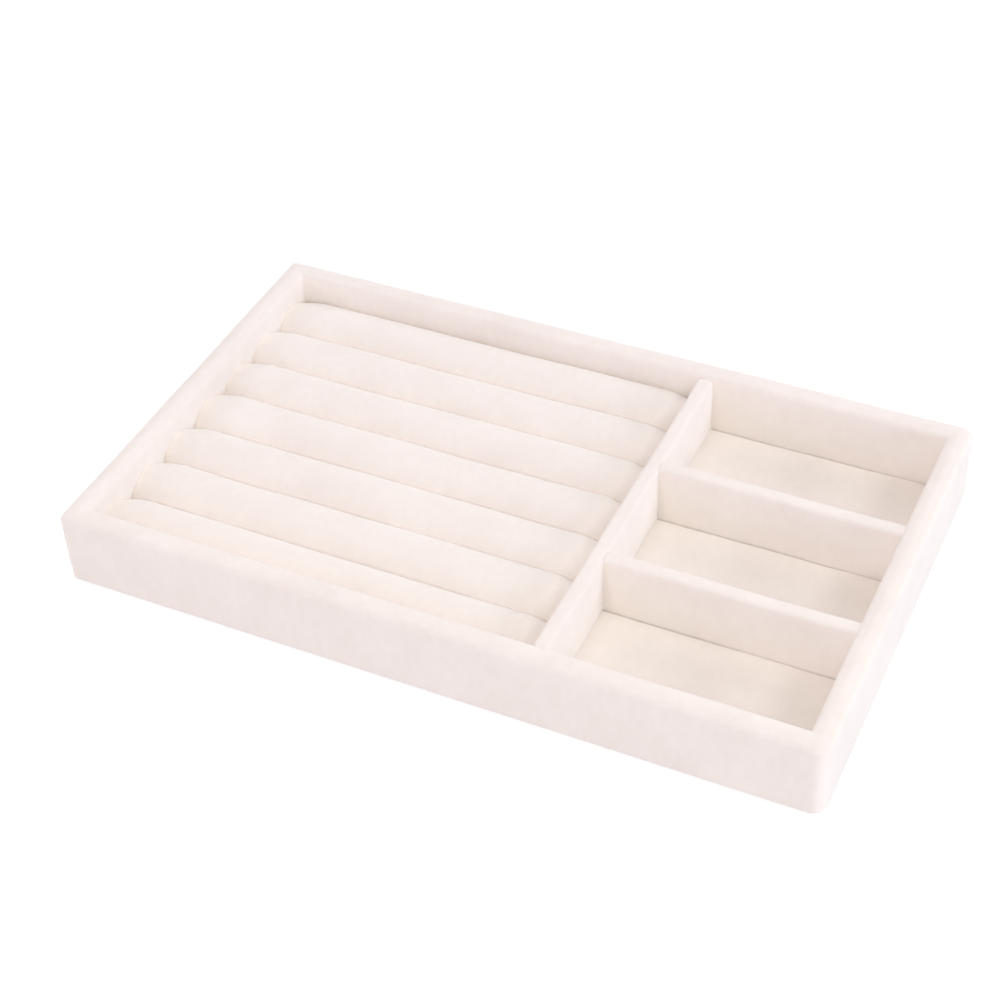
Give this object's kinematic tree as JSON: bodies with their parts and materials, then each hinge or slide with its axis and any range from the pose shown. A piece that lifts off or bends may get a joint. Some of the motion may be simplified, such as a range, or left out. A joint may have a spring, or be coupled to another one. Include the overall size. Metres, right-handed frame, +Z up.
{
  "type": "jewelry tray",
  "caption": "Low rectangular velvet-covered jewelry tray with a bay of soft ring rolls on one side and small padded compartments on the other.",
  "frame": {"origin": "middle of the underside, on the surface the tray stands on", "axes": "+X along the length from the ring bay to the compartments, +Y from the front wall to the rear wall, +Z up"},
  "size_m": [0.3, 0.18, 0.033],
  "materials": {
    "velvet": "matte",
    "felt": "matte",
    "fibreboard": "matte",
    "card": "matte",
    "foam": "matte"
  },
  "bodies": {
    "tray": {"outer_wrap": "velvet", "long_divider_velvet": "velvet", "rear_cross_velvet": "velvet", "front_cross_velvet": "velvet", "rear_pad_velvet": "velvet", "middle_pad_velvet": "velvet", "front_pad_velvet": "velvet", "base_sheet": "felt", "base_board": "fibreboard", "front_wall_board": "fibreboard", "rear_wall_board": "fibreboard", "left_wall_board": "fibreboard", "right_wall_board": "fibreboard", "long_divider_board": "fibreboard", "rear_cross_board": "fibreboard", "front_cross_board": "fibreboard", "rear_pad_card": "card", "middle_pad_card": "card", "front_pad_card": "card"},
    "ring_insert": {"ring_insert_card": "card", "ring_roll_core_1": "foam", "ring_roll_core_2": "foam", "ring_roll_core_3": "foam", "ring_roll_core_4": "foam", "ring_roll_core_5": "foam", "ring_roll_core_6": "foam", "ring_roll_core_7": "foam", "ring_roll_velvet_1": "velvet", "ring_roll_velvet_2": "velvet", "ring_roll_velvet_3": "velvet", "ring_roll_velvet_4": "velvet", "ring_roll_velvet_5": "velvet", "ring_roll_velvet_6": "velvet", "ring_roll_velvet_7": "velvet"}
  },
  "joints": [
    {"name": "ring_insert_lift", "type": "slide", "parent": "tray", "child": "ring_insert", "axis": [0, 0, 1], "range_m": [0, 0.045]}
  ]
}
